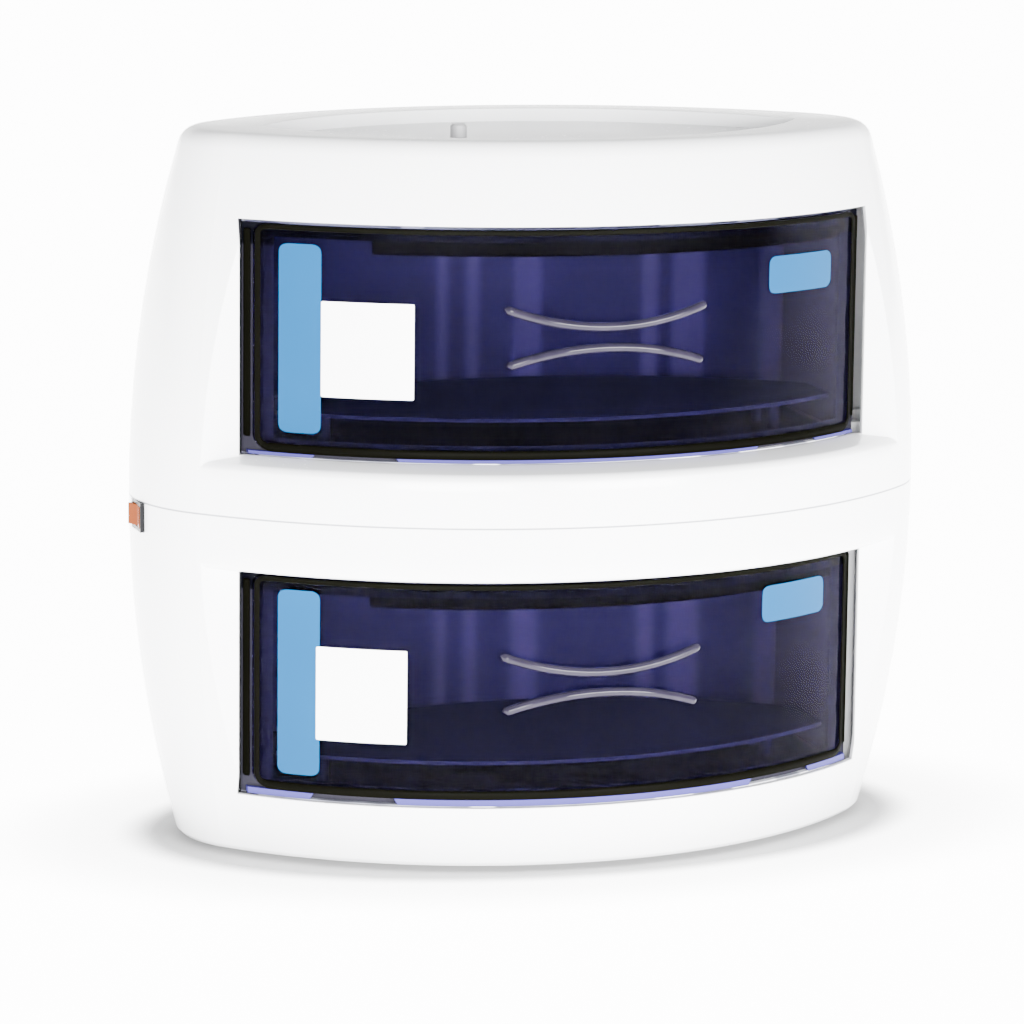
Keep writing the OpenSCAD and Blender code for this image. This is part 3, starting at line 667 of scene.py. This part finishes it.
def makeGrips(tier, facts):
    points, faces = [], []
    for row in grips["rows"]:
        half, sag = row["half"], row["sag"]
        radius = (half * half + sag * sag) / (2 * sag)
        widest = math.asin(half / radius)
        ends = (grips["thick"] / 2) / radius
        steps, ring = grips["steps"], grips["ring"]
        start = len(points)
        for k in range(steps + 1):
            t = -1 + 2 * k / steps
            turn = t * (widest + ends)
            beyond = max(abs(turn) - widest, 0) / ends
            shrink = math.sqrt(max(1 - beyond * beyond, 0.0004))  # round ends, not quite to a point
            rise = (grips["stand"] - grips["crown"]) * (0.4 + 0.6 * shrink)
            x = grips["middle"] + radius * math.sin(turn)
            z = facts["floor"] + row["height"] + row["up"] * (radius - radius * math.cos(turn))
            acrossX, acrossZ = -row["up"] * math.sin(turn), math.cos(turn)
            for j in range(ring):
                swing = math.pi * 2 * j / ring
                wide = grips["thick"] / 2 * math.cos(swing) * shrink
                lift = math.sin(swing)
                lift = math.copysign(abs(lift) ** grips["square"], lift)
                out = front["radius"] + rise * (0.5 + 0.5 * lift) - grips["sink"]
                points.append(onFront(out, x + acrossX * wide, z + acrossZ * wide))
        for k in range(steps):
            for j in range(ring):
                a, b = start + k * ring + j, start + k * ring + (j + 1) % ring
                faces.append((a, b, b + ring, a + ring))
        faces.append(tuple(start + j for j in range(ring)))
        faces.append(tuple(start + steps * ring + j for j in range(ring)))
    addPiece(tier + "_finger_ridges", points, faces, smoked, facts["body"], "grip_dark",
             grips["sharpFrom"], stands=[tier + "_grips"])


for tier, facts in tiers.items():
    makeGrips(tier, facts)
print("ridges made")


# blank labels on the fronts, in millimetres
labelSheet = {"back": 0.01, "stand": 0.16, "layer": 0.06, "chamfer": 0.05}
panels = {
    "upper": [
        {"name": "tall", "x": (-148.2, -129.6), "z": (223.0, 318.0), "corner": 4.0, "colour": "cyan"},
        {"name": "square", "x": (-129.6, -87.3), "z": (242.0, 290.0), "corner": 0.8, "colour": "white"},
        {"name": "tag", "x": (99.3, 140.8), "z": (290.0, 309.0), "corner": 4.0, "colour": "cyan"},
    ],
    "lower": [
        {"name": "tall", "x": (-148.2, -129.6), "z": (48.0, 143.0), "corner": 4.0, "colour": "cyan"},
        {"name": "square", "x": (-131.2, -89.5), "z": (67.0, 115.0), "corner": 0.8, "colour": "white"},
        {"name": "tag", "x": (99.3, 140.8), "z": (120.0, 139.0), "corner": 4.0, "colour": "cyan"},
    ],
}
labelStock = {
    "white": makeMoulded("whiteLabel", (0.86, 0.86, 0.86), (0.90, 0.90, 0.90), 0.35,
                         900.0, 0.00002, 0.0),
    "cyan": makeMoulded("cyanLabel", (0.0008, 0.042, 0.112), (0.0012, 0.047, 0.125), 0.35,
                        900.0, 0.00002, 0.0, **dull),
}
for tier, rows in panels.items():
    for k, row in enumerate(rows):
        outer = front["radius"] + labelSheet["stand"] + labelSheet["layer"] * k
        points, faces = curvedPlate(*row["x"], *row["z"], row["corner"], row["corner"],
                                    front["radius"] + labelSheet["back"], outer, labelSheet["chamfer"])
        addPiece(tier + "_" + row["name"] + "_label", points, faces, labelStock[row["colour"]],
                 tiers[tier]["body"], None)
print("plain labels made")


# in metres, apart from tints and strengths
room = {
    "floorTint": (0.50, 0.50, 0.50),
    "floorLight": (0.53, 0.53, 0.53),
    "glow": 13.0,
    "far": 1.6,
    "world": 0.3,
    "under": (0.222, 0.133),  # half axes of the oval under the case
    "foot": (0.77, 1.0),  # painted contact shadow: the glow returns between these shares of the oval
    # painted soft shadow around the case: the glow rises to full between these shares
    "softShadow": (0.8, 2.1),
    "near": (-1.3, -0.65),
    "high": (0.25, 0.9),
}
# floor and rear wall, in millimetres
backdrop = {"half": 6000, "from": -5000, "step": 1000, "flatRows": 8, "rows": 24, "bend": 2500}


def makeFloor():
    finish = Finish("paleFloor", Roughness=0.7, Emission_Strength=1.0, Specular_IOR_Level=0.1)
    # the glow fades out towards the foot of the case: a painted contact shadow, with a softer painted
    # shadow around it
    wide, deep = room["under"]
    away = (finish.x / wide) ** 2.0 + (finish.y / deep) ** 2.0
    clear = away.smooth(*room["foot"]) * (0.55 + away.smooth(*room["softShadow"]) * 0.45)
    # nothing bright stands opposite the fronts or high behind the dish
    near, high = finish.y.smooth(*room["near"]), finish.z.smooth(*room["high"])
    glow = (near * (1.0 - high)).blendTo((*[room["far"]] * 3, 1), (*[room["glow"]] * 3, 1))
    finish.feed(
        Base_Color=finish.noise(2.0, 2.0).blendTo((*room["floorTint"], 1), (*room["floorLight"], 1)),
        Emission_Color=clear.blendTo((0, 0, 0, 1), glow))
    points, faces = [], []
    flat, bend = backdrop["flatRows"], backdrop["bend"]
    for k in range(backdrop["rows"] + 1):
        y, z = backdrop["from"] + backdrop["step"] * min(k, flat), 0.0
        if k > flat:
            turn = math.radians(90 * (k - flat) / (backdrop["rows"] - flat))
            y, z = y + bend * math.sin(turn), bend * (1 - math.cos(turn))
        points += [(-backdrop["half"], y, z), (backdrop["half"], y, z)]
        if k:
            faces.append((2 * k - 2, 2 * k - 1, 2 * k + 1, 2 * k))
    mesh = bpy.data.meshes.new("backdrop")
    mesh.from_pydata([Vector(p) * mm for p in points], [], faces)
    mesh.shade_smooth()
    mesh.materials.append(finish.material)
    floor = bpy.data.objects.new("backdrop", mesh)
    bpy.context.scene.collection.objects.link(floor)


lightAim = (0.0, 0.0, 0.2)
softboxes = [
    {"name": "top", "spot": (0.0, -0.4, 2.4), "size": (2.4, 1.6), "power": 10.0},
    {"name": "left", "spot": (-1.0, -3.0, 0.5), "size": (1.6, 0.7), "power": 400.0},
    {"name": "right", "spot": (1.2, -3.0, 0.5), "size": (1.6, 0.7), "power": 400.0},
]


def makeLights():
    for box in softboxes:
        light = bpy.data.lights.new(box["name"], "AREA")
        light.shape = "RECTANGLE"
        light.size, light.size_y = box["size"]
        light.energy = box["power"]
        lit = bpy.data.objects.new(box["name"], light)
        bpy.context.scene.collection.objects.link(lit)
        lit.location = box["spot"]
        aim = Vector(lightAim) - Vector(box["spot"])
        lit.rotation_euler = aim.to_track_quat("-Z", "Y").to_euler()
    world = bpy.data.worlds.new("studio")
    bpy.context.scene.world = world
    world.use_nodes = True
    sky = world.node_tree.nodes["Background"]
    sky.inputs["Color"].default_value = (1, 1, 1, 1)
    sky.inputs["Strength"].default_value = room["world"]


makeFloor()
makeLights()
print("studio made")
